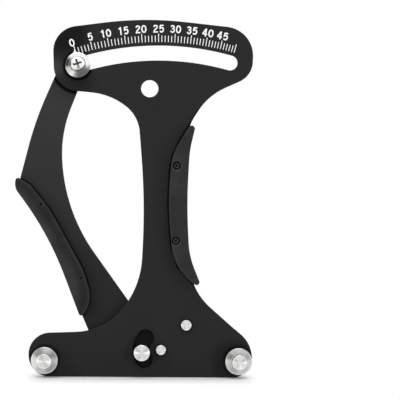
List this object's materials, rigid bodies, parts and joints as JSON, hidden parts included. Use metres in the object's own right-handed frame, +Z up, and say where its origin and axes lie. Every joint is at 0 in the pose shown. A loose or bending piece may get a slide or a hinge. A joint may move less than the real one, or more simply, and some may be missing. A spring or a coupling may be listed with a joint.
{
  "type": "spoke tension meter",
  "caption": "Hand-held flat-plate gauge with fixed posts, a sprung lever with a moving post, a pointer on an arc scale, and side grips.",
  "frame": {"origin": "on the main plate's base edge, midway between the two fixed posts and at the middle of the plate's thickness", "axes": "+X from the left fixed post to the right one as the scale is read, +Y from the scale's side to the back, +Z up from the base edge to the scale"},
  "size_m": [0.137, 0.0347, 0.2057],
  "materials": {
    "plate_paint": "black satin powder coat",
    "grip_plastic": "black moulded plastic, fine grain",
    "turned_steel": "turned stainless steel, bright",
    "screw_steel": "zinc plated",
    "spring_steel": "drawn wire",
    "black_screws": "black oxide",
    "nylon": "natural nylon"
  },
  "bodies": {
    "frame": {"main_plate": "plate_paint", "fixed_post_left": "turned_steel", "fixed_post_right": "turned_steel", "fixed_post_screws": "screw_steel", "pivot_pin": "turned_steel", "pivot_spacer": "nylon", "pivot_rear_washer": "screw_steel", "pivot_clip": "spring_steel", "spring_anchor_stud": "turned_steel", "tension_spring": "spring_steel", "frame_grip_front": "grip_plastic", "frame_grip_rear": "grip_plastic", "frame_grip_screws": "black_screws"},
    "lever": {"lever_plate": "plate_paint", "moving_post": "turned_steel", "moving_post_screw": "screw_steel", "lever_spring_stud": "turned_steel", "pointer_bush": "turned_steel", "pointer_slide_washer": "nylon", "pointer_washer": "turned_steel", "pointer_screw": "screw_steel", "pointer_rear_washer": "screw_steel", "pointer_nut": "screw_steel", "lever_grip_front": "grip_plastic", "lever_grip_rear": "grip_plastic", "lever_grip_screws": "black_screws"}
  },
  "joints": [
    {"name": "lever_pivot", "type": "hinge", "parent": "frame", "child": "lever", "pos_m": [0.0112, 0, 0.0157], "axis": [0, 1, 0], "range_deg": [0, 29.8], "stiffness_Nm_per_rad": 1, "springref_deg": -34.38, "deforming": ["tension_spring"]}
  ]
}
